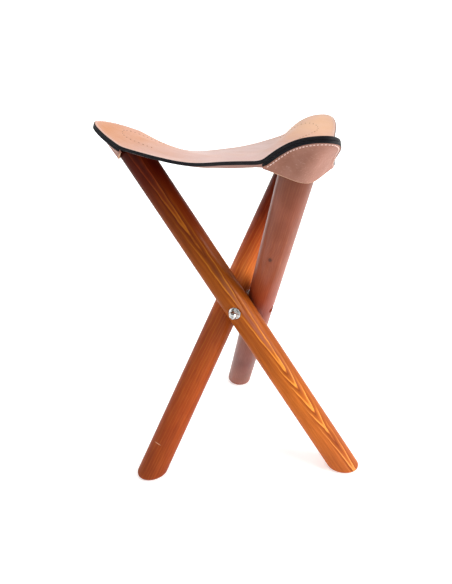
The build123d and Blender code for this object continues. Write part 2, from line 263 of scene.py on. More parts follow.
def read_at(places, lengths, table):
    """A table's rows, read at some lengths along the line that it belongs to."""
    return np.stack([np.interp(places, lengths, table[:, k]) for k in range(table.shape[1])], -1)


def edge_point(azimuth, reach, across, height):
    """A point given by reach, distance across and height, in millimetres."""
    a = radians(azimuth)
    x = SEAT_CENTRE[0] + cos(a) * reach - sin(a) * across
    y = SEAT_CENTRE[1] + sin(a) * reach + cos(a) * across
    return np.array([x, y, height])


def smooth_through(points, count):
    """A natural cubic through the points, at evenly spaced places."""
    points = np.asarray(points, float)
    chords = np.linalg.norm(np.diff(points, axis=0), axis=1)
    knots = np.concatenate([[0.0], np.cumsum(chords)])
    size = len(points)
    system, right = np.zeros((size, size)), np.zeros((size, points.shape[1]))
    system[0, 0] = system[-1, -1] = 1
    for i in range(1, size - 1):
        before, after = chords[i - 1], chords[i]
        system[i, i - 1], system[i, i], system[i, i + 1] = before, 2 * (before + after), after
        right[i] = 6 * ((points[i + 1] - points[i]) / after - (points[i] - points[i - 1]) / before)
    bends = np.linalg.solve(system, right)
    places = np.linspace(0, knots[-1], count)
    span = np.clip(np.searchsorted(knots, places, side="right") - 1, 0, size - 2)
    run = (places - knots[span])[:, None]
    width = chords[span][:, None]
    a, b, ka, kb = points[span], points[span + 1], bends[span], bends[span + 1]
    curved = (ka * (width - run) ** 3 + kb * run**3) / (6 * width)
    return curved + (a / width - ka * width / 6) * (width - run) + (b / width - kb * width / 6) * run


class Seat:
    """The seat's surface: its edge all round, and the sheet between the edge and the middle."""

    CORNER_STEPS = 44
    SIDE_STEPS = 44
    # how often the edge's points are averaged with their neighbours
    EDGE_PASSES = 3
    # under one, so that the rings of points lie closer toward the edge
    RING_SPREAD = 0.9
    # where the hollows rise latest
    LATE_AZIMUTH = 140
    # each wave's length, its share of the ripple, and the layer of the noise that it is read from
    WAVES = ((46, 1.0, 3.7), (19, 0.45, 8.1))
    # the waves fade over the last sixth of the way to the edge, and the soft folds over the last third
    WAVE_FADE = 6
    FOLD_FADE = 3

    def __init__(self, sizes):
        self.sizes = sizes
        runs = []
        self.corner_start = {}
        for i, leg in enumerate(LEGS):
            corner = [edge_point(CORNER_AZIMUTHS[leg], *p) for p in CORNER_EDGE[leg]]
            after = LEGS[(i + 1) % 3]
            side = [corner[-1]]
            side += [edge_point(CORNER_AZIMUTHS[leg] + 60, *p) for p in SIDE_EDGE[leg]]
            side += [edge_point(CORNER_AZIMUTHS[after], *CORNER_EDGE[after][0])]
            self.corner_start[leg] = sum(len(r) for r in runs)
            runs.append(smooth_through(corner, self.CORNER_STEPS + 1)[:-1])
            runs.append(smooth_through(side, self.SIDE_STEPS + 1)[:-1])
        rim = np.concatenate(runs)
        for _ in range(self.EDGE_PASSES):
            rim = 0.5 * rim + 0.25 * (np.roll(rim, 1, 0) + np.roll(rim, -1, 0))
        self.rim = rim
        self.count = len(rim)
        plan = rim[:, :2] - SEAT_CENTRE
        self.reach = np.hypot(plan[:, 0], plan[:, 1])
        azimuth = np.degrees(np.arctan2(plan[:, 1], plan[:, 0]))
        turn = (azimuth - CORNER_AZIMUTHS["left"]) % 360
        self.ridge = ((1 + np.cos(np.radians(3 * turn))) / 2) ** sizes.ridge_width
        self.ease = np.array(sizes.ridge_ease)[np.round(turn / 120).astype(int) % 3]
        late = np.cos(np.radians(azimuth - self.LATE_AZIMUTH))
        self.power = sizes.hollow_power + sizes.hollow_swing * late
        self.shares = np.linspace(0, 1, sizes.rings + 1) ** self.RING_SPREAD
        self.top = self.sheet(self.shares)
        self.normal = self.normals(self.top)
        self.out = unit(self.out_directions())

    def sheet(self, shares):
        """Points of the upper side, a row for each share of the way out to the edge."""
        s = shares[:, None]
        plan = SEAT_CENTRE + s[..., None] * (self.rim[:, :2] - SEAT_CENTRE)
        # a ridge runs out to each corner, and a hollow rises to each side between
        full = np.sqrt(self.reach**2 + self.ease**2) - self.ease
        ridge = (np.sqrt((s * self.reach) ** 2 + self.ease**2) - self.ease) / full
        hollow = s**self.power
        rise = self.ridge * ridge + (1 - self.ridge) * hollow
        height = self.soften(shares, self.sizes.low + rise * (self.rim[:, 2] - self.sizes.low))
        wave = np.zeros_like(height)
        for i, share in enumerate(shares):
            fade = min(1.0, (1 - share) * self.WAVE_FADE)
            for j, (x, y) in enumerate(plan[i]):
                wave[i, j] = fade * self.wave_at(x, y)
        height = height + wave * self.sizes.ripple
        return np.concatenate([plan, height[..., None]], -1)

    def wave_at(self, x, y):
        """The hide's slow waves at a place, about one at their highest."""
        waves = [(share, Vector((x / length, y / length, layer))) for length, share, layer in self.WAVES]
        return sum(share * noise.noise(place) for share, place in waves)

    def soften(self, shares, height):
        """Heights without sharp creases: each ring is averaged over a fixed length, less near the edge."""
        waves = np.fft.fftfreq(self.count) * self.count
        soft = np.empty_like(height)
        for i, share in enumerate(shares):
            fade = min(1.0, (1 - share) * self.FOLD_FADE)
            blur = self.sizes.fold_width * fade / max(share * self.reach.mean(), 1.0)
            soft[i] = np.fft.ifft(np.fft.fft(height[i]) * np.exp(-0.5 * (waves * blur) ** 2)).real
        return soft

    def normals(self, grid):
        """Unit normals of the upper side, pointing up."""
        along = np.roll(grid, -1, 1) - np.roll(grid, 1, 1)
        down = np.gradient(grid, axis=0)
        normal = np.cross(down, along)
        normal[0] = (0, 0, 1)
        normal = unit(normal)
        normal[normal[..., 2] < 0] *= -1
        return normal

    def out_directions(self):
        """At the edge, the direction out of the sheet and in its plane."""
        along = np.roll(self.rim, -1, 0) - np.roll(self.rim, 1, 0)
        return np.cross(unit(along), self.normal[-1])

    def columns(self, leg):
        """The edge's columns of one third of the seat, from side middle to side middle."""
        start = self.corner_start[leg]
        half = self.SIDE_STEPS // 2
        return [(start + k) % self.count for k in range(-half, self.CORNER_STEPS + half + 1)]

    def corner_columns(self, leg):
        """The edge's columns of one corner, from pocket end to pocket end."""
        start = self.corner_start[leg]
        return [(start + k) % self.count for k in range(self.CORNER_STEPS + 1)]


def edge_profile(thickness, rounding, steps=4):
    """Places on a rounded cut, from the upper side round to the lower one, as (out, up, turn)."""
    turns = [pi / 2 * k / steps for k in range(steps + 1)]
    upper = [(-rounding + rounding * sin(a), -rounding + rounding * cos(a), a) for a in turns]
    low = rounding - thickness
    lower = [(-rounding + rounding * cos(a), low - rounding * sin(a), pi / 2 + a) for a in turns]
    return upper + lower


def make_mesh(name, points, faces, materials, picks=None, attributes=None, normals=None, closed=True):
    """A mesh object in metres from points in millimetres, turned outward where it is closed."""
    places = np.asarray(points, float)
    volume = 0.0
    for face in faces:
        a = places[face[0]]
        for k in range(1, len(face) - 1):
            volume += a @ np.cross(places[face[k]], places[face[k + 1]])
    if closed and volume < 0:
        faces = [tuple(face)[::-1] for face in faces]
    mesh = bpy.data.meshes.new(name)
    mesh.from_pydata([tuple(float(c) * MM for c in p) for p in points], [], faces)
    for material in materials:
        mesh.materials.append(material)
    if picks is not None:
        mesh.polygons.foreach_set("material_index", np.asarray(picks, np.int32))
    mesh.polygons.foreach_set("use_smooth", np.ones(len(faces), bool))
    for key, values in (attributes or {}).items():
        values = np.asarray(values, np.float32)
        if values.ndim == 2:
            layer = mesh.attributes.new(key, "FLOAT_VECTOR", "POINT")
            layer.data.foreach_set("vector", values.ravel())
        else:
            layer = mesh.attributes.new(key, "FLOAT", "POINT")
            layer.data.foreach_set("value", values)
    mesh.validate()
    mesh.update()
    if normals is not None:
        normals = unit(np.asarray(normals))
        mesh.normals_split_custom_set_from_vertices([tuple(float(c) for c in n) for n in normals])
    piece = bpy.data.objects.new(name, mesh)
    bpy.context.scene.collection.objects.link(piece)
    return piece


def third_rows(seat, cols):
    """Rows over the top, the cut and the underside, each with points, normals and margins from the edge."""
    sizes = seat.sizes
    up, out = seat.normal[-1, cols], seat.out[cols]
    top, cut, low = [], [], []
    for share, row, normal in zip(seat.shares[1:], seat.top[1:, cols], seat.normal[1:, cols]):
        top.append([row, normal, seat.reach[cols] * (1 - share)])
    top[-1][0] = seat.rim[cols] - out * sizes.rounding
    for outward, upward, turn in edge_profile(sizes.leather, sizes.rounding)[1:-1]:
        row = seat.rim[cols] + out * outward + up * upward
        cut.append((row, out * sin(turn) + up * cos(turn), np.full(len(cols), ON_CUT)))
    for row, normal, inside in reversed(top):
        low.append((row - normal * sizes.leather, -normal, BELOW - inside))
    return top, cut, low


def seat_third(seat, leg, materials):
    """One third of the seat as a closed sheet, from the middle out to one corner."""
    cols = seat.columns(leg)
    wide = len(cols)
    top, cut, low = third_rows(seat, cols)
    rows = top + cut + low
    points = [point for row in rows for point in row[0]]
    normals = [normal for row in rows for normal in row[1]]
    margin = [inside for row in rows for inside in row[2]]
    faces, picks = [], []
    total, last = len(rows), wide - 1

    def at(r, c):
        return r * wide + c

    for r in range(total - 1):
        pick = UPPER if r < len(top) - 1 else EDGE if r < len(top) + len(cut) else LOWER
        for c in range(last):
            faces.append((at(r, c), at(r + 1, c), at(r + 1, c + 1), at(r, c + 1)))
            picks.append(pick)
    # the middle of the two sides
    centre_top, centre_low = len(points), len(points) + 1
    points += [seat.top[0, 0], seat.top[0, 0] - np.array([0, 0, seat.sizes.leather])]
    normals += [(0, 0, 1), (0, 0, -1)]
    margin += [IN_MIDDLE, BELOW - IN_MIDDLE]
    for c in range(last):
        faces.append((centre_top, at(0, c), at(0, c + 1)))
        faces.append((centre_low, at(total - 1, c + 1), at(total - 1, c)))
        picks += [UPPER, LOWER]
    # the two walls where this third meets the other ones
    for c, order in ((0, 1), (last, -1)):
        loop = [centre_top] + [at(r, c) for r in range(total)] + [centre_low]
        for k in range(len(top)):
            faces.append((loop[k], loop[-1 - k], loop[-2 - k], loop[k + 1])[::order])
            picks.append(LOWER)
        faces.append(tuple(at(r, c) for r in range(len(top) - 1, total - len(top) + 1))[::-order])
        picks.append(EDGE)
    attributes = {"rest": np.array(points) * MM, "margin": margin}
    return make_mesh(f"seat_third_{leg}", points, faces, materials, picks, attributes, normals)


def leg_axis(leg, height):
    """The centre of a leg at a height."""
    a = radians(LEG_AZIMUTHS[leg])
    run = (height - CROSSING_HEIGHT) / sin(LEG_LEAN) * cos(LEG_LEAN)
    return np.array([-sin(a) * LEG_OFFSET + cos(a) * run, cos(a) * LEG_OFFSET + sin(a) * run, height])


def leg_direction(leg):
    """The direction up a leg."""
    a = radians(LEG_AZIMUTHS[leg])
    return np.array([cos(a) * cos(LEG_LEAN), sin(a) * cos(LEG_LEAN), sin(LEG_LEAN)])


def taut_mouth(leg, ends, stand_off, depth, count):
    """The pocket's lower edge, straight from each end and round the leg between, and where it touches."""
    # over what length the leather comes to touch the leg, and how often the line is smoothed
    touch_run, mouth_passes, close = 12, 6, 0.01
    up = leg_direction(leg)
    middle = leg_axis(leg, LEG_TOP - depth)
    azimuth = radians(LEG_AZIMUTHS[leg])
    outward = np.array([cos(azimuth), sin(azimuth), 0.0])
    low = middle + outward * (stand_off / sin(LEG_LEAN))
    across = unit(ends[1] - ends[0])
    toward = low - ends[0]
    toward = unit(toward - across * (toward @ across))
    # the leg's round, cut by the plane of the mouth
    square = np.cross(across, toward)
    side = unit(np.cross(up, outward))
    front = np.cross(side, up)
    ring = []
    for k in range(360):
        base = middle + (cos(radians(k)) * side + sin(radians(k)) * front) * stand_off
        ring.append(base + up * (((low - base) @ square) / (up @ square)))
    ring = np.array(ring) - ends[0]
    flat = np.stack([ring @ across, ring @ toward], -1)
    span = (ends[1] - ends[0]) @ across

    def meets(run):
        """The point of the round that a line drawn tight from an end meets first."""
        return flat[np.argmax(np.where(run > 1, flat[:, 1] / np.maximum(run, 1), -1))]

    first, last = meets(flat[:, 0]), meets(span - flat[:, 0])
    order = flat[np.argsort(flat[:, 0])]
    between = (order[:, 0] >= first[0]) & (order[:, 0] <= last[0])
    outer = order[:, 1] >= min(first[1], last[1]) - close
    bend = np.concatenate([[[0.0, 0.0]], order[between & outer], [[span, 0.0]]])
    path = ends[0] + bend[:, :1] * across + bend[:, 1:] * toward
    lengths = run_lengths(path)
    places = np.linspace(0, lengths[-1], count)
    line = read_at(places, lengths, path)
    for _ in range(mouth_passes):
        line[1:-1] = 0.5 * line[1:-1] + 0.25 * (line[:-2] + line[2:])
    touch = np.clip(np.minimum(places - lengths[1], lengths[-2] - places) / touch_run + 0.5, 0, 1)
    return line, touch * touch * (3 - 2 * touch)


class Pocket:
    """The outer face of a leg's pocket, from the seam at the seat's edge to the mouth."""

    # rows of faces from the seam to the mouth, and steps round a cut
    DOWN = 26
    EDGE_STEPS = 3
    ROUNDING = 0.8
    # a hair's breadth between the seat and the pocket, and the play between the leg and the pocket
    GAP = 0.05
    PLAY = 0.7
    # how far the mouth's two ends lie below the seam and inside it
    END_DROP = 1.8
    END_INSET = 0.8
    # the part of the seam at each end where the leather hangs straight down
    END_SHARE = 0.22
    # how the leather leaves the seam and comes to the mouth, as shares of the way between
    SEAM_LEAD = 0.3
    END_LEAD = 0.33
    MOUTH_LEAD = 0.52
    # the furthest that it swings inward under the seat
    SWING = 7.0

    def __init__(self, seat, leg):
        sizes = seat.sizes
        cols = seat.corner_columns(leg)
        up, out = seat.normal[-1, cols], seat.out[cols]
        self.leg, self.cols, self.up, self.out = leg, cols, up, out
        seam = seat.rim[cols] - up * (sizes.leather + sizes.pocket + self.GAP)
        ends = [seam[k] - np.array([0, 0, self.END_DROP]) - out[k] * self.END_INSET for k in (0, -1)]
        stand_off = LEG_RADIUS + self.PLAY + sizes.pocket
        mouth, touch = taut_mouth(leg, ends, stand_off, MOUTH_DEPTH[leg], len(cols))
        touch = touch[:, None]
        chord = np.linalg.norm(seam - mouth, axis=1)[:, None]
        run = np.linspace(0, 1, len(cols))
        inner = np.clip(np.minimum(run, 1 - run) / self.END_SHARE, 0, 1)[:, None]
        swing = out * np.minimum(self.SWING, chord * self.SEAM_LEAD) * inner
        first = seam - swing - np.array([0, 0, 1.0]) * chord * self.END_LEAD * (1 - inner)
        straight = mouth + (seam - mouth) / 3
        second = straight * (1 - touch) + (mouth + leg_direction(leg) * chord * self.MOUTH_LEAD) * touch
        rows = []
        for t in np.linspace(0, 1, self.DOWN + 1):
            near_seam = (1 - t) ** 3 * seam + 3 * (1 - t) ** 2 * t * first
            rows.append(near_seam + 3 * (1 - t) * t * t * second + t**3 * mouth)
        self.outer = np.array(rows)
        normal = unit(np.cross(np.gradient(self.outer, axis=1), np.gradient(self.outer, axis=0)))
        middle = (self.DOWN // 2, len(cols) // 2)
        if normal[middle] @ (self.outer[middle] - leg_axis(leg, LEG_TOP)) < 0:
            normal = -normal
        normal[0] = -up
        self.face = normal

    def ways_out(self):
        """The way out of the sheet at each place on its border, and zero inside it."""
        along = unit(np.gradient(self.outer, axis=1))
        down = unit(np.gradient(self.outer, axis=0))
        # the sewn edge lies flat under the seat, so its cut faces straight out
        down[0] = -self.out
        ways = np.zeros_like(self.outer)
        ways[0] -= down[0]
        ways[-1] += down[-1]
        ways[:, 0] -= along[:, 0]
        ways[:, -1] += along[:, -1]
        return ways

    def build(self, sizes, materials):
        """The pocket as a closed sheet with rounded cuts."""
        rounding, face, ways = self.ROUNDING, self.face, self.ways_out()
        high, wide = self.outer.shape[:2]
        points, normals, faces, picks = [], [], [], []
        index = {}

        def add(point, normal):
            points.append(point)
            normals.append(normal)
            return len(points) - 1

        for side, grid, sign in (("outer", self.outer, 1), ("inner", self.outer - face * sizes.pocket, -1)):
            for r in range(high):
                for c in range(wide):
                    index[side, r, c] = add(grid[r, c] - ways[r, c] * rounding, face[r, c] * sign)
        for r in range(high - 1):
            for c in range(wide - 1):
                corners = ((r, c), (r, c + 1), (r + 1, c + 1), (r + 1, c))
                faces.append(tuple(index["outer", *p] for p in corners))
                faces.append(tuple(index["inner", *p] for p in corners[:1] + corners[:0:-1]))
                picks += [FLESH, FLESH]
        border = [(0, c) for c in range(wide)] + [(r, wide - 1) for r in range(1, high)]
        border += [(high - 1, c) for c in range(wide - 2, -1, -1)] + [(r, 0) for r in range(high - 2, 0, -1)]
        steps = range(1, self.EDGE_STEPS + 1)
        rings = []
        for place in border:
            way = unit(ways[place])
            ring = [index["outer", *place]]
            for side, sign, order in (("outer", 1, steps), ("inner", -1, reversed(steps))):
                base = points[index[side, *place]]
                for k in order:
                    turn = pi / 2 * k / self.EDGE_STEPS
                    point = base + way * rounding * sin(turn)
                    point = point - face[place] * sign * rounding * (1 - cos(turn))
                    ring.append(add(point, way * sin(turn) + face[place] * sign * cos(turn)))
            ring.append(index["inner", *place])
            rings.append(ring)
        for k, (r, _) in enumerate(border):
            after = (k + 1) % len(border)
            a, b = rings[k], rings[after]
            next_row = border[after][0]
            pick = SEWN if r == next_row == 0 else MOUTH if r == next_row == high - 1 else FLESH
            for m in range(len(a) - 1):
                faces.append((a[m], a[m + 1], b[m + 1], b[m]))
                picks.append(pick)
        name, attributes = f"pocket_{self.leg}_leather", {"rest": np.array(points) * MM}
        return make_mesh(name, points, faces, materials, picks, attributes, normals)


# Node trees


class Nodes:
    """Short-hand for building a tree of nodes."""

    def __init__(self, tree):
        self.nodes, self.links = tree.nodes, tree.links

    def put(self, socket, value):
        """Links an output to a socket, or sets the socket to a plain value."""
        if isinstance(value, bpy.types.NodeSocket):
            self.links.new(value, socket)
        elif value is not None:
            if hasattr(value, "__len__") and len(socket.default_value) == 4 and len(value) == 3:
                value = (*value, 1)
            socket.default_value = value

    def node(self, kind, settings=None, **inputs):
        """A node with its settings, and with its inputs given by name."""
        made = self.nodes.new(kind)
        for key, value in (settings or {}).items():
            setattr(made, key, value)
        for key, value in inputs.items():
            self.put(made.inputs[key.replace("_", " ")], value)
        return made

    def math(self, operation, a, b=None, clamp=False):
        made = self.nodes.new("ShaderNodeMath")
        made.operation, made.use_clamp = operation, clamp
        self.put(made.inputs[0], a)
        if b is not None:
            self.put(made.inputs[1], b)
        return made.outputs[0]

    def plus(self, a, b):
        return self.math("ADD", a, b)

    def minus(self, a, b):
        return self.math("SUBTRACT", a, b)

    def times(self, a, b, clamp=False):
        return self.math("MULTIPLY", a, b, clamp)

    def over(self, a, b, clamp=False):
        return self.math("DIVIDE", a, b, clamp)


# Stitches


def stitch_tree():
    """A node tree that lays one arched stitch at each point of a seam."""
    # how far the thread dips into the hide and rises over it, in thread diameters
    dip, rise = -0.45, 0.75
    arch_steps, round_steps = 6, 8
    tree = bpy.data.node_groups.new("lay_stitches", "GeometryNodeTree")
    for name, way, kind in (
        ("Seam", "INPUT", "Geometry"), ("Stitch length", "INPUT", "Float"),
        ("Thread diameter", "INPUT", "Float"), ("Thread", "INPUT", "Material"),
        ("Stitches", "OUTPUT", "Geometry"),
    ):
        tree.interface.new_socket(name, in_out=way, socket_type=f"NodeSocket{kind}")
    t = Nodes(tree)
    given, made = t.node("NodeGroupInput"), t.node("NodeGroupOutput")

    def vector(x, y, z):
        return t.node("ShaderNodeCombineXYZ", X=x, Y=y, Z=z).outputs[0]

    def stored(name):
        node = t.node("GeometryNodeInputNamedAttribute", {"data_type": "FLOAT_VECTOR"}, Name=name)
        return next(s for s in node.outputs if s.enabled and s.name == "Attribute")

    half = t.times(given.outputs["Stitch length"], 0.5)
    wide = given.outputs["Thread diameter"]
    arch = t.node(
        "GeometryNodeCurveQuadraticBezier", Resolution=arch_steps,
        Start=vector(t.times(half, -1.0), 0, t.times(wide, dip)), Middle=vector(0, 0, t.times(wide, rise)),
        End=vector(half, 0, t.times(wide, dip)))
    ring = t.node("GeometryNodeCurvePrimitiveCircle", Resolution=round_steps, Radius=t.times(wide, 0.5))
    sweep = t.node(
        "GeometryNodeCurveToMesh", Curve=arch.outputs[0], Profile_Curve=ring.outputs[0], Fill_Caps=True)
    smooth = t.node("GeometryNodeSetShadeSmooth", Geometry=sweep.outputs[0])
    # each stitch stands on the leather and lies along the seam
    standing = t.node("FunctionNodeAlignRotationToVector", {"axis": "Z"}, Vector=stored("face"))
    lying = t.node(
        "FunctionNodeAlignRotationToVector", {"axis": "X", "pivot_axis": "Z"},
        Rotation=standing.outputs[0], Vector=stored("run"))
    spots = t.node("GeometryNodeMeshToPoints", Mesh=given.outputs["Seam"])
    lay = t.node(
        "GeometryNodeInstanceOnPoints",
        Points=spots.outputs[0], Instance=smooth.outputs[0], Rotation=lying.outputs[0])
    real = t.node("GeometryNodeRealizeInstances", Geometry=lay.outputs[0])
    paint = t.node("GeometryNodeSetMaterial", Geometry=real.outputs[0], Material=given.outputs["Thread"])
    t.links.new(paint.outputs[0], made.inputs[0])
    return tree


def lay_stitches(name, spots, runs, faces, thread, material):
    """Stitches at the spots, along the runs and standing on the faces, as one plain mesh."""
    seam = make_mesh(f"{name}_seam", spots, [], [material], None, {"run": runs, "face": faces})
    tree = bpy.data.node_groups.get("lay_stitches") or stitch_tree()
    step = seam.modifiers.new("stitches", "NODES")
    step.node_group = tree
    values = {
        "Stitch length": thread.length * MM,
        "Thread diameter": thread.thickness * MM,
        "Thread": material,
    }
    for item in tree.interface.items_tree:
        if item.item_type == "SOCKET" and item.in_out == "INPUT" and item.name in values:
            step[item.identifier] = values[item.name]
    bpy.context.view_layer.update()
    result = seam.evaluated_get(bpy.context.evaluated_depsgraph_get())
    mesh = bpy.data.meshes.new_from_object(result)
    mesh.name = name
    for old in list(mesh.attributes):
        if old.name in ("run", "face"):
            mesh.attributes.remove(old)
    piece = bpy.data.objects.new(name, mesh)
    bpy.context.scene.collection.objects.link(piece)
    bpy.data.objects.remove(seam)
    return piece


def along_line(line, values, pitch, lead):
    """Evenly spaced places on a line, with the values there and a lead left free at its ends."""
    lengths = run_lengths(line)
    count = int((lengths[-1] - 2 * lead) // pitch)
    start = (lengths[-1] - count * pitch) / 2
    places = start + pitch * np.arange(count + 1)
    spots = read_at(places, lengths, line)
    return spots, unit(np.gradient(spots, axis=0)), unit(read_at(places, lengths, values))


def row_on_pocket(pocket, inset):
    """The line on a pocket's outer face at an inset from its seam, with the face's direction."""
    steps = np.linalg.norm(np.diff(pocket.outer, axis=0), axis=2)
    fall = np.concatenate([np.zeros((1, len(pocket.cols))), np.cumsum(steps, axis=0)])
    line, face = [], []
    for c in range(len(pocket.cols)):
        place = min(inset, fall[-1, c] * 0.5)
        line.append([np.interp(place, fall[:, c], pocket.outer[:, c, k]) for k in range(3)])
        face.append([np.interp(place, fall[:, c], pocket.face[:, c, k]) for k in range(3)])
    return np.array(line), np.array(face)


def stop_row(seat, leg, thread):
    """The line on the seat round the end of a leg: a half turn with two straight sides."""
    # places along the seam, and how many points of the seat give the height there, weighted by nearness
    steps, neighbours, nearness = 91, 4, 0.5
    azimuth = radians(LEG_AZIMUTHS[leg])
    out = np.array([cos(azimuth), sin(azimuth)])
    side = np.array([-sin(azimuth), cos(azimuth)])
    bend = thread.stop_radius
    shift = thread.stop_shift if leg == "left" else 0.0
    centre = leg_axis(leg, LEG_TOP)[:2] + out * (thread.stop_reach - bend) - side * shift
    arc = bend * pi / 2
    flat = seat.top.reshape(-1, 3)
    line = []
    for run in np.linspace(-arc - thread.stop_side, arc + thread.stop_side, steps):
        if abs(run) <= arc:
            p = centre + out * bend * cos(run / bend) + side * bend * sin(run / bend)
        else:
            p = centre - out * (abs(run) - arc) + side * bend * np.sign(run)
        away = ((flat[:, :2] - p) ** 2).sum(1)
        near = np.argsort(away)[:neighbours]
        weight = 1 / (nearness + np.sqrt(away[near]))
        weight /= weight.sum()
        line.append([p[0], p[1], float((flat[near, 2] * weight).sum())])
    return np.array(line)


# Finishes


class Finish(Nodes):
    """Short-hand for building a node material."""

    def __init__(self, name):
        self.material = bpy.data.materials.new(name)
        self.material.use_nodes = True
        super().__init__(self.material.node_tree)
        self.shader = self.nodes["Principled BSDF"]

    def mix(self, share, a, b, blend="MIX"):
        made = self.nodes.new("ShaderNodeMix")
        made.data_type, made.blend_type = "RGBA", blend
        self.put(made.inputs[0], share)
        self.put(made.inputs[6], a)
        self.put(made.inputs[7], b)
        return made.outputs[2]

    def ramp(self, value, *stops, easing="LINEAR"):
        made = self.nodes.new("ShaderNodeValToRGB")
        self.put(made.inputs[0], value)
        line = made.color_ramp
        line.interpolation = easing
        while len(line.elements) < len(stops):
            line.elements.new(0.5)
        for element, (place, colour) in zip(line.elements, stops):
            element.position = place
            element.color = (colour, colour, colour, 1) if isinstance(colour, (int, float)) else (*colour, 1)
        return made.outputs[0]

    def noise(self, vector, scale, detail=3.0, rough=0.5, warp=0.0):
        made = self.node(
            "ShaderNodeTexNoise", Vector=vector, Scale=scale, Detail=detail, Roughness=rough, Distortion=warp)
        return made.outputs["Fac"]

    def cells(self, vector, scale, feature="DISTANCE_TO_EDGE"):
        """Distances in a pattern of cells: from each cell's edge, or from its middle with F1."""
        made = self.node("ShaderNodeTexVoronoi", {"feature": feature}, Vector=vector, Scale=scale)
        return made.outputs["Distance"]

    def stretch(self, vector, scale, place=(0, 0, 0)):
        return self.node("ShaderNodeMapping", Vector=vector, Scale=scale, Location=place).outputs[0]

    def distance(self, place, mark, scale=(1, 1, 1)):
        """How far a place lies from a mark, with each direction counted by the scale."""
        offset = self.node("ShaderNodeVectorMath", {"operation": "SUBTRACT"}, Vector=place)
        offset.inputs[1].default_value = mark
        scaled = self.stretch(offset.outputs[0], scale)
        return self.node("ShaderNodeVectorMath", {"operation": "LENGTH"}, Vector=scaled).outputs["Value"]

    def along(self, place, axis):
        """How far a place lies along an axis."""
        made = self.node("ShaderNodeVectorMath", {"operation": "DOT_PRODUCT"}, Vector=place)
        made.inputs[1].default_value = axis
        return made.outputs["Value"]

    def object_place(self):
        return self.node("ShaderNodeTexCoord").outputs["Object"]

    def attribute(self, name, kind="Vector"):
        return self.node("ShaderNodeAttribute", {"attribute_name": name}).outputs[kind]

    def bump(self, height, strength, distance, after=None):
        made = self.node("ShaderNodeBump", Height=height, Strength=strength, Distance=distance)
        if after is not None:
            self.links.new(after, made.inputs["Normal"])
        return made.outputs[0]

    def finish(self, **inputs):
        for key, value in inputs.items():
            self.put(self.shader.inputs[key.replace("_", " ")], value)
        return self.material


def hide_colour(f, place, colours):
    """The hide's colour with its marks, rosy in the middle and orange at the corners, its streaks, and a
    painted highlight along its edge.
    """
    rosy, sandy = (0.60, 0.43, 0.41), (0.60, 0.34, 0.25)
    tanned, bleached = (0.56, 0.30, 0.20), (0.66, 0.50, 0.47)
    smear, pore, pale_corner = (0.42, 0.20, 0.12), (0.46, 0.24, 0.16), (0.70, 0.42, 0.255)
    painted_rim_highlight = (0.58, 0.38, 0.335)
    split = f.node("ShaderNodeSeparateXYZ", Vector=place)
    # the higher parts toward the corners are warmer and more orange
    height = f.times(f.minus(split.outputs["Z"], 0.420), 50.0, clamp=True)
    cloud = f.noise(place, 11.0, 4, 0.55)
    warm = f.times(height, f.ramp(cloud, (0.30, 0.45), (0.62, 1.0)))
    drift = f.noise(f.stretch(place, (1, 1, 1), (3.1, 0.4, 2.0)), 24.0, 4, 0.55)
    base = f.mix(f.ramp(drift, (0.40, 0.0), (0.66, 0.55)), colours.grain, rosy)
    base = f.mix(f.ramp(drift, (0.30, 0.45), (0.46, 0.0)), base, sandy)
    # long soft streaks, as the hide was pulled
    streaks = f.noise(f.stretch(place, (11, 52, 20), (0.3, 2.1, 0.0)), 1.0, 5, 0.62, 1.2)
    base = f.mix(f.ramp(streaks, (0.52, 0.0), (0.74, 0.40)), base, tanned)
    base = f.mix(f.ramp(streaks, (0.26, 0.35), (0.44, 0.0)), base, bleached)
    # the rear corner is paler and less orange than the others
    far = f.plus(f.times(split.outputs["X"], 1.7), f.times(split.outputs["Y"], 4.7))
    tone = f.mix(f.ramp(far, (0.32, 0.0), (0.72, 1.0)), colours.warm, pale_corner)
    base = f.mix(f.times(warm, 0.88), base, tone)
    smears = f.noise(f.stretch(place, (24, 70, 30), (5.0, 1.0, 2.0)), 1.0, 3, 0.5, 1.6)
    base = f.mix(f.ramp(smears, (0.66, 0.0), (0.76, 0.55)), base, smear)
    pores = f.noise(place, 950.0, 2, 0.5)
    base = f.mix(f.ramp(pores, (0.56, 0.0), (0.74, 0.16)), base, pore)
    base = f.mix(f.ramp(f.cells(place, 30.0, "F1"), (0.02, 0.30), (0.06, 0.0)), base, smear)
    # painted highlight: a paler, pinker band along the edge, for the light on the edge's slight curl
    rim = f.ramp(f.over(f.attribute("margin", "Fac"), 12.0), (0.0, 0.75), (0.35, 0.30), (1.0, 0.0))
    return f.mix(rim, base, painted_rim_highlight), streaks


def grain_leather(colours):
    """The seat's upper side: smooth natural hide with fine grain, folds and streaks."""
    f = Finish("grain_leather")
    place = f.attribute("rest")
    base, streaks = hide_colour(f, place, colours)
    fine = f.ramp(f.cells(place, 620.0), (0.0, 0.0), (0.22, 1.0))
    folds = f.ramp(f.cells(f.stretch(place, (60, 95, 60)), 1.0), (0.0, 0.0), (0.10, 1.0))
    normal = f.bump(fine, 0.16, 0.0005)
    normal = f.bump(folds, 0.10, 0.0008, normal)
    normal = f.bump(streaks, 0.35, 0.0016, normal)
    normal = f.bump(f.noise(place, 70.0, 4, 0.6), 0.25, 0.0010, normal)
    rough = f.ramp(f.noise(place, 26.0, 4, 0.6), (0.3, 0.42), (0.7, 0.60))
    return f.finish(
        Base_Color=base, Roughness=rough, Normal=normal, Specular_IOR_Level=0.30, Sheen_Weight=0.04)


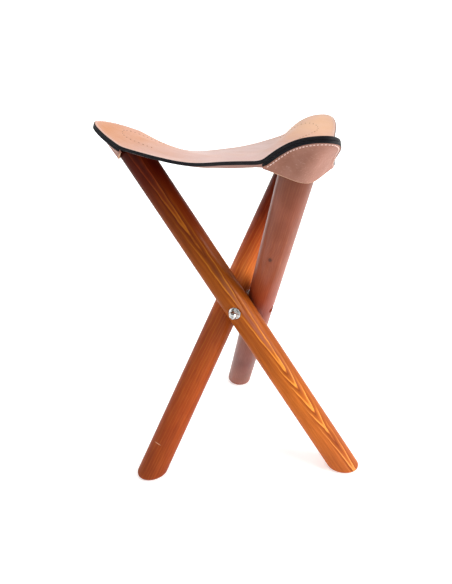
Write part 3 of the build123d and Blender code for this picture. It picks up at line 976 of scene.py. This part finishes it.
def flesh_leather(colours):
    """The rough side of the hide: a short, felted nap with darker and paler clouds."""
    worn, felted, hairy = (0.315, 0.150, 0.110), (0.24, 0.115, 0.08), (0.66, 0.42, 0.33)
    f = Finish("flesh_leather")
    place = f.attribute("rest")
    cloud = f.noise(place, 30.0, 5, 0.6)
    base = f.mix(f.ramp(cloud, (0.3, 0.0), (0.7, 1.0)), colours.flesh, worn)
    nap = f.noise(f.stretch(place, (1, 1, 0.6)), 800.0, 3, 0.7, 0.4)
    base = f.mix(f.ramp(nap, (0.4, 0.0), (0.8, 0.28)), base, felted)
    hairs = f.noise(f.stretch(place, (260, 900, 420)), 1.0, 3, 0.6)
    base = f.mix(f.ramp(hairs, (0.55, 0.0), (0.8, 0.25)), base, hairy)
    normal = f.bump(nap, 0.5, 0.0006)
    normal = f.bump(f.noise(place, 120.0, 4, 0.65), 0.35, 0.0010, normal)
    return f.finish(
        Base_Color=base, Roughness=0.92, Normal=normal, Specular_IOR_Level=0.15,
        Sheen_Weight=0.12, Sheen_Roughness=0.6)


def painted_edge(colours):
    """Black edge paint over the cut, uneven and a little worn."""
    rubbed = (0.030, 0.027, 0.027)
    f = Finish("painted_edge")
    place = f.attribute("rest")
    worn = f.noise(place, 420.0, 4, 0.65)
    base = f.mix(f.ramp(worn, (0.66, 0.0), (0.84, 0.45)), colours.paint, rubbed)
    layers = f.noise(f.stretch(place, (90, 90, 1400)), 1.0, 3, 0.6)
    normal = f.bump(layers, 0.15, 0.0004)
    normal = f.bump(worn, 0.25, 0.0003, normal)
    rough = f.ramp(f.noise(place, 150.0, 3, 0.5), (0.3, 0.44), (0.7, 0.62))
    return f.finish(Base_Color=base, Roughness=rough, Normal=normal, Specular_IOR_Level=0.10)


def cut_edge(colours):
    """The mouth's bare cut edge, pale and fibrous."""
    brown = (0.40, 0.21, 0.125)
    f = Finish("cut_edge")
    place = f.attribute("rest")
    fibres = f.noise(f.stretch(place, (300, 300, 1500)), 1.0, 4, 0.6)
    base = f.mix(f.ramp(fibres, (0.35, 0.0), (0.75, 0.6)), colours.cut, brown)
    normal = f.bump(fibres, 0.4, 0.0004)
    return f.finish(Base_Color=base, Roughness=0.8, Normal=normal, Specular_IOR_Level=0.3)


def waxed_thread(name, colour):
    """Waxed thread with the turns of its twist."""
    shade = 0.55
    f = Finish(name)
    twist = f.noise(f.object_place(), 1700.0, 2, 0.5, 0.6)
    base = f.mix(f.ramp(twist, (0.4, 0.0), (0.7, 0.4)), colour, tuple(c * shade for c in colour))
    normal = f.bump(twist, 0.6, 0.0003)
    return f.finish(Base_Color=base, Roughness=0.55, Normal=normal, Sheen_Weight=0.2)


def leg_place(f, leg, facing):
    """Places measured from the foot of a leg, in millimetres: the way it faces, sideways and up the leg."""
    up = Vector(leg_direction(leg))
    side = Vector((0, 0, 1)).cross(up).normalized()
    toward = side * cos(radians(facing)) + up.cross(side) * sin(radians(facing))
    turn = Matrix((toward, up.cross(toward), up))
    start = tuple(-(turn @ Vector(leg_axis(leg, 0))))
    return f.node(
        "ShaderNodeMapping", Vector=f.object_place(), Scale=(1 / MM, 1 / MM, 1 / MM),
        Rotation=tuple(turn.to_euler("XYZ")), Location=start).outputs[0]


def grain_lines(f, place, part, along, look):
    """The rings where the leg's surface cuts them: the place across, the phase and how clearly it shows."""
    seed = look["seed"]

    def wander(size, length, height, shift):
        """A slow unevenness of a given size across, length along and height, all in millimetres."""
        waves = f.noise(f.stretch(place, (1 / size, 1 / size, 1 / length), shift), 1.0, 2, 0.5)
        return f.times(f.minus(waves, 0.5), height)

    run_out = f.times(f.ramp(along, *look["run_out"]), look["rings_met"] * look["ring"])
    x = f.plus(wander(30, 90, 1.6, seed), wander(7, 16, 1.3, (4.0, seed[1], 1.0)))
    y = f.plus(part.outputs["Y"], wander(26, 60, 3.5, (7.0, 3.0, seed[2])))
    y = f.plus(y, wander(9, 22, 2.4, (1.0, 6.0, seed[0])))
    y = f.minus(y, f.times(f.minus(along, 0.5), look["drift"]))
    if "knot" in look:
        # the rings swing out round a knot
        near = f.over(f.distance(place, look["knot"], (1, 1, 0.6)), 16.0)
        x = f.plus(x, f.times(f.ramp(near, (0.0, 1.0), (1.0, 0.0), easing="EASE"), 4.0))
    nose = look["nose"]
    bow = f.minus(f.math("SQRT", f.plus(f.times(y, y), nose * nose)), nose)
    arch = f.plus(f.times(bow, look["flare"]), f.times(y, look["slant"]))
    field = f.minus(f.plus(arch, x), run_out)
    phase = f.math("FRACT", f.plus(f.over(field, look["ring"]), look["start"]))
    faced = f.over(f.math("ABSOLUTE", part.outputs["X"]), LEG_RADIUS)
    beside = f.over(f.math("ABSOLUTE", y), look["reach"])
    on_face = f.ramp(faced, (0.60, look["sides"]), (0.93, 1.0))
    shown = f.times(on_face, f.ramp(beside, (0.45, 1.0), (0.85, 0.10)))
    return y, phase, f.times(shown, look["pale"])


def stained_rings(f, place, part, along, body, colours, look):
    """The stain's colour, in clouds and bands and along the rings, with a painted reflection and painted
    shade where a leg's look asks for them.
    """
    painted_side_shade = (0.30, 0.045, 0.012)
    y, phase, shown = grain_lines(f, place, part, along, look)
    # broad bands and clouds of stain
    bands = f.noise(f.stretch(place, (0.11, 0.11, 0.007), look["seed"]), 1.0, 3, 0.55)
    clouds = f.noise(f.stretch(place, (0.05, 0.05, 0.022), (2.0, 5.0, look["seed"][0])), 1.0, 3, 0.55)
    base = f.mix(f.ramp(clouds, (0.38, 0.0), (0.66, 1.0)), body, look["second"])
    base = f.mix(f.ramp(bands, (0.44, 0.0), (0.66, look["bands"])), base, colours.dark)
    # the ring: stain soaks into the soft part and leaves the hard line pale
    dark_part = f.ramp(phase, (0.05, 0.0), (0.16, 0.75), (0.24, 0.55), (0.60, 0.0))
    pale_part = f.ramp(phase, (0.0, 0.6), (0.05, 0.0), (0.66, 0.0), (0.84, 0.85), (0.95, 1.0), (1.0, 0.6))
    base = f.mix(f.times(dark_part, shown), base, colours.dark)
    base = f.mix(f.times(pale_part, shown), base, colours.pale)
    if "painted_reflection" in look:
        # a painted reflection: a rosy stretch between two of the pale lines, for the bright surroundings seen
        # in the varnish
        low, high, middle, half = look["painted_reflection"]
        near = f.ramp(along, (low, 0.0), (low + 0.05, 1.0), (high - 0.08, 1.0), (high, 0.0))
        off = f.over(f.math("ABSOLUTE", f.minus(y, middle)), half)
        base = f.mix(f.times(near, f.ramp(off, (0.55, 0.8), (1.0, 0.0))), base, colours.red)
    if "stain" in look:
        # painted shade: a stretch of the upper leg darkened to deep red on the side that faces the seat's
        # underside
        low, high, near, far = look["stain"]
        shaded_side = f.over(f.minus(part.outputs["Y"], near), far - near, clamp=True)
        base = f.mix(f.times(f.ramp(along, (low, 0.0), (high, 0.8)), shaded_side), base, painted_side_shade)
    return base


def marked_wood(f, place, along, base, fibres, colours, look):
    """The wood with its fibres and specks, its depth of stain mixed with painted shade and painted sheen
    along the leg, and with any knot and scratches.
    """
    speck, knot, bare = (0.08, 0.02, 0.008), (0.05, 0.018, 0.012), (0.66, 0.36, 0.22)
    base = f.mix(f.ramp(fibres, (0.34, 0.30), (0.56, 0.0)), base, colours.dark)
    base = f.mix(f.ramp(fibres, (0.60, 0.0), (0.80, 0.16)), base, colours.pale)
    specks = f.noise(f.stretch(place, (0.55, 0.55, 0.16), (3, 1, 8)), 1.0, 2, 0.5)
    base = f.mix(f.ramp(specks, (0.70, 0.0), (0.80, 0.30)), base, speck)
    # the colour changes along the leg: partly the stain's own depth, partly painted shade that darkens the
    # top under the seat and painted light and sheen that make some lower stretches paler
    base = f.mix(1.0, base, f.ramp(along, *look["depth"]), "MULTIPLY")
    if "knot" in look:
        away = f.over(f.distance(place, look["knot"], (1, 1, 0.6)), 3.0)
        base = f.mix(f.ramp(away, (0.0, 0.9), (0.6, 0.7), (1.0, 0.0)), base, knot)
    for mark in look.get("scratches", ()):
        length = f.distance(place, mark, (0.12, 0.12, 1.0))
        base = f.mix(f.ramp(length, (0.35, 0.75), (0.8, 0.0)), base, bare)
    return base


def varnished_wood(leg, colours, look):
    """Stained softwood under varnish, cut from a tree whose rings run out along the leg as pale arches."""
    f = Finish(f"varnished_wood_{leg}")
    place = leg_place(f, leg, look["facing"])
    part = f.node("ShaderNodeSeparateXYZ", Vector=place)
    along = f.over(part.outputs["Z"], LEG_TOP / sin(LEG_LEAN))
    base = stained_rings(f, place, part, along, getattr(colours, leg), colours, look)
    fibres = f.noise(f.stretch(place, (1.1, 1.1, 0.03)), 1.0, 4, 0.62)
    base = marked_wood(f, place, along, base, fibres, colours, look)
    normal = f.bump(fibres, 0.07, 0.0004)
    normal = f.bump(f.noise(f.stretch(place, (0.06, 0.06, 0.02)), 1.0, 3, 0.5), 0.10, 0.0012, normal)
    rough = f.ramp(f.noise(f.stretch(place, (0.04, 0.04, 0.014)), 1.0, 4, 0.6), (0.3, 0.34), (0.7, 0.50))
    coat = f.bump(f.noise(f.stretch(place, (0.12, 0.12, 0.05)), 1.0, 3, 0.5), 0.05, 0.0008)
    return f.finish(
        Base_Color=base, Roughness=rough, Normal=normal, Specular_IOR_Level=look["gloss"],
        Coat_Weight=look["coat"], Coat_Roughness=0.16, Coat_Normal=coat)


def plated_steel(name, axis=None):
    """Bright plated steel, handled and slightly scuffed, with dark patches that are partly tarnish and partly
    painted reflections, and with screw threads along an axis where asked.
    """
    bright, dull_and_reflected = (0.66, 0.66, 0.65), (0.20, 0.19, 0.185)
    f = Finish(name)
    place = f.object_place()
    # dark patches: partly tarnish, partly painted reflections of darker surroundings
    smudge_and_reflection = f.noise(place, 260.0, 4, 0.6)
    base = f.mix(f.ramp(smudge_and_reflection, (0.44, 0.0), (0.60, 0.9)), bright, dull_and_reflected)
    normal = f.bump(f.noise(place, 900.0, 3, 0.6), 0.06, 0.0004)
    if axis is not None:
        turns = f.times(f.along(place, axis), 2 * pi / (BOLT_THREAD_PITCH * MM))
        normal = f.bump(f.math("SINE", turns), 0.5, 0.0006, normal)
    rough = f.ramp(f.noise(place, 120.0, 3, 0.6), (0.3, 0.09), (0.7, 0.24))
    return f.finish(Base_Color=base, Metallic=1.0, Roughness=rough, Normal=normal)


def pale_floor(look):
    """The floor and its backdrop, which glow of themselves and let a view from below through."""
    f = Finish("pale_floor")
    f.finish(
        Base_Color=tuple(look.floor), Roughness=0.8, Specular_IOR_Level=0.1, Emission_Color=(1.0, 1.0, 1.0))
    place = f.object_place()
    away = f.over(f.distance(place, (0, 0, 0)), 3.0)
    glow = f.times(f.ramp(away, (0.10, 0.72), (0.75, 1.0)), look.glow)
    # it glows less toward the left and the front, so that the light from the right models the stool
    across = f.plus(f.over(f.along(place, (0.5, 0.866, 0.0)), 7.2), 0.5)
    sided = f.ramp(across, (0.0, 0.45), (0.38, 0.70), (0.62, 1.0))
    f.finish(Emission_Strength=f.times(glow, sided))
    below = f.node("ShaderNodeMixShader")
    f.links.new(f.node("ShaderNodeNewGeometry").outputs["Backfacing"], below.inputs[0])
    f.links.new(f.shader.outputs[0], below.inputs[1])
    f.links.new(f.node("ShaderNodeBsdfTransparent").outputs[0], below.inputs[2])
    f.links.new(below.outputs[0], f.nodes["Material Output"].inputs["Surface"])
    return f.material


# Operators


def found(name, make, *given):
    """A material by name, made when first asked for."""
    return bpy.data.materials.get(name) or make(*given)


def bend_places(leg, sizes):
    """Where a corner of the seat starts to follow its leg, and where it follows it fully, in metres."""
    a = radians(CORNER_AZIMUTHS[leg])
    places = []
    for reach in (sizes.bend_start, sizes.bend_end):
        x, y = SEAT_CENTRE[0] + cos(a) * reach, SEAT_CENTRE[1] + sin(a) * reach
        places.append([x * MM, y * MM, BEND_HEIGHT * MM])
    return places


def round_floor():
    """A round floor that rises into a wall on every side, as points in millimetres and faces."""
    around, curve_steps = 96, 12
    flat_rings, curve, wall_top = (400, 800, 1400, 2000, 2600), 1000, (2000, 3000)
    profile = [(ring, 0.0) for ring in flat_rings]
    for k in range(1, curve_steps + 1):
        turn = pi / 2 * k / curve_steps
        profile.append((flat_rings[-1] + curve * sin(turn), curve - curve * cos(turn)))
    profile += [(flat_rings[-1] + curve, z) for z in wall_top]
    points, faces = [(0.0, 0.0, 0.0)], []
    for r, z in profile:
        points += [(r * cos(2 * pi * k / around), r * sin(2 * pi * k / around), z) for k in range(around)]
    for k in range(around):
        after = (k + 1) % around
        faces.append((0, 1 + k, 1 + after))
        for ring in range(len(profile) - 1):
            a, b = 1 + ring * around, 1 + (ring + 1) * around
            faces.append((a + k, b + k, b + after, a + after))
    return points, faces


class STOOL_OT_stage(bpy.types.Operator):
    """Lays the pale floor and its curved backdrop, the soft lights, the surround and the camera"""

    bl_idname = "stool.stage"
    bl_label = "Stage, lights and camera"

    def execute(self, context):
        scene, look = context.scene, context.scene.stool_stage
        scene.view_settings.view_transform = "Standard"
        points, faces = round_floor()
        floor = make_mesh("floor", points, faces, [pale_floor(look)], closed=False)
        world = bpy.data.worlds.new("surround")
        scene.world = world
        world.use_nodes = True
        back = world.node_tree.nodes["Background"]
        back.inputs["Color"].default_value = (1, 1, 1, 1)
        back.inputs["Strength"].default_value = look.world
        for name, power, size, place, aim, tint in LAMPS:
            lamp = bpy.data.lights.new(name, "AREA")
            lamp.energy, lamp.size, lamp.color = getattr(look, power), size, tint
            holder = bpy.data.objects.new(name, lamp)
            scene.collection.objects.link(holder)
            holder.location = place
            holder.rotation_euler = (Vector(aim) - Vector(place)).to_track_quat("-Z", "Y").to_euler()
        camera = bpy.data.cameras.new("camera")
        camera.sensor_width, camera.lens = CAMERA_SENSOR, CAMERA_LENS
        holder = bpy.data.objects.new("camera", camera)
        scene.collection.objects.link(holder)
        forward = Vector(CAMERA_FORWARD).normalized()
        right = Vector(CAMERA_RIGHT).normalized()
        turn = Matrix((right, right.cross(forward), -forward)).transposed().to_4x4()
        holder.matrix_world = Matrix.Translation(CAMERA_PLACE) @ turn
        scene.camera = holder
        return {"FINISHED"}


class STOOL_OT_seat(bpy.types.Operator):
    """Makes the seat's leather in three thirds that meet in its middle, each following its own leg"""

    bl_idname = "stool.seat"
    bl_label = "Leather seat"

    def execute(self, context):
        sizes, colours = context.scene.stool_seat, context.scene.stool_leather
        seat = Seat(sizes)
        finishes = (grain_leather, flesh_leather, painted_edge)
        materials = [found(make.__name__, make, colours) for make in finishes]
        for leg in LEGS:
            piece = seat_third(seat, leg, materials)
            start, end = bend_places(leg, sizes)
            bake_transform(piece, "hub", f"leg_{leg}", start=start, end=end)
            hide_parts("seat_panel")
        return {"FINISHED"}


class STOOL_OT_pockets(bpy.types.Operator):
    """Makes the three leather pockets that take the tops of the legs"""

    bl_idname = "stool.pockets"
    bl_label = "Leg pockets"

    def execute(self, context):
        sizes, colours = context.scene.stool_seat, context.scene.stool_leather
        seat = Seat(sizes)
        finishes = (painted_edge, flesh_leather, cut_edge)
        materials = [found(make.__name__, make, colours) for make in finishes]
        for leg in LEGS:
            piece = Pocket(seat, leg).build(sizes, materials)
            # both sides of the sheet have the flesh finish
            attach(piece, f"leg_{leg}")
            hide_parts(f"pocket_{leg}")
        return {"FINISHED"}


class STOOL_OT_rim_stitches(bpy.types.Operator):
    """Sews each pocket to the seat's edge: one row of stitches on the pocket and one on the seat"""

    bl_idname = "stool.rim_stitches"
    bl_label = "Edge seams"

    def execute(self, context):
        lead = 5.0
        seat, thread = Seat(context.scene.stool_seat), context.scene.stool_thread
        tint = tuple(context.scene.stool_leather.thread)
        material = found("pale_thread", waxed_thread, "pale_thread", tint)
        for leg in LEGS:
            pocket = Pocket(seat, leg)
            under = along_line(*row_on_pocket(pocket, thread.inset), thread.pitch, lead)
            top = seat.rim[pocket.cols] - pocket.out * thread.inset
            above = along_line(top, pocket.up, thread.pitch, lead)
            spots, runs, faces = [np.concatenate(rows) for rows in zip(under, above)]
            piece = lay_stitches(f"rim_stitches_{leg}", spots, runs, faces, thread, material)
            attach(piece, f"leg_{leg}")
            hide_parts(f"rim_seam_{leg}")
        return {"FINISHED"}


class STOOL_OT_stop_stitches(bpy.types.Operator):
    """Sews the short seams on the seat that stop the end of each leg"""

    bl_idname = "stool.stop_stitches"
    bl_label = "Stop seams"

    def execute(self, context):
        lead = 2.0
        sizes, thread = context.scene.stool_seat, context.scene.stool_thread
        seat = Seat(sizes)
        tint = tuple(context.scene.stool_leather.stop_thread)
        material = found("brown_thread", waxed_thread, "brown_thread", tint)
        flat = seat.top.reshape(-1, 3)
        for leg in LEGS:
            line = stop_row(seat, leg, thread)
            spots, runs, _ = along_line(line, line, thread.stop_pitch, lead)
            near = [int(np.argmin(((flat[:, :2] - s[:2]) ** 2).sum(1))) for s in spots]
            faces = seat.normal.reshape(-1, 3)[near]
            piece = lay_stitches(f"stop_stitches_{leg}", spots, runs, faces, thread, material)
            start, end = bend_places(leg, sizes)
            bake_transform(piece, "hub", f"leg_{leg}", start=start, end=end)
            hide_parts(f"stop_seam_{leg}")
        return {"FINISHED"}


class STOOL_OT_legs(bpy.types.Operator):
    """Stains and varnishes the three turned legs, each with its own grain"""

    bl_idname = "stool.legs"
    bl_label = "Varnished legs"

    def execute(self, context):
        for leg, look in LEG_LOOKS.items():
            material = varnished_wood(leg, context.scene.stool_wood, look)
            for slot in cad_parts[f"leg_{leg}"].material_slots:
                slot.material = material
        return {"FINISHED"}


class STOOL_OT_hardware(bpy.types.Operator):
    """Plates the three-way bolt, its nuts and its washers"""

    bl_idname = "stool.hardware"
    bl_label = "Three-way bolt"

    def execute(self, context):
        plain = plated_steel("plated_steel")
        threaded = {
            "eye_bolt": plated_steel("threaded_shank", EYE_BOLT_AXIS),
            "long_bolt": plated_steel("threaded_rod", LONG_BOLT_AXIS),
        }
        for name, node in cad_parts.items():
            if "bolt" not in name:
                continue
            for slot in node.material_slots:
                slot.material = threaded.get(name, plain)
        return {"FINISHED"}


GROUPS = {
    "stool_seat": SeatSizes,
    "stool_thread": ThreadSizes,
    "stool_leather": LeatherColours,
    "stool_wood": WoodColours,
    "stool_stage": StageLook,
}
OPERATORS = (
    STOOL_OT_stage,
    STOOL_OT_seat,
    STOOL_OT_pockets,
    STOOL_OT_rim_stitches,
    STOOL_OT_stop_stitches,
    STOOL_OT_legs,
    STOOL_OT_hardware,
)


class STOOL_PT_panel(bpy.types.Panel):
    """Lists the stool's pieces and the sizes and colours that a user may change"""

    bl_label = "Stool"
    bl_idname = "STOOL_PT_panel"
    bl_space_type = "VIEW_3D"
    bl_region_type = "UI"
    bl_category = "Stool"

    def draw(self, context):
        for operator in OPERATORS:
            self.layout.operator(operator.bl_idname)
        for name in GROUPS:
            box = self.layout.box()
            group = getattr(context.scene, name)
            for key in group.bl_rna.properties.keys():
                if key not in ("rna_type", "name"):
                    box.prop(group, key)


def register():
    for kind in (*GROUPS.values(), *OPERATORS, STOOL_PT_panel):
        bpy.utils.register_class(kind)
    for name, kind in GROUPS.items():
        setattr(bpy.types.Scene, name, bpy.props.PointerProperty(type=kind))


def unregister():
    for name in GROUPS:
        delattr(bpy.types.Scene, name)
    for kind in reversed((*GROUPS.values(), *OPERATORS, STOOL_PT_panel)):
        bpy.utils.unregister_class(kind)


def main():
    register()
    for operator in OPERATORS:
        group, name = operator.bl_idname.split(".")
        getattr(getattr(bpy.ops, group), name)()


if __name__ == "__main__":
    main()
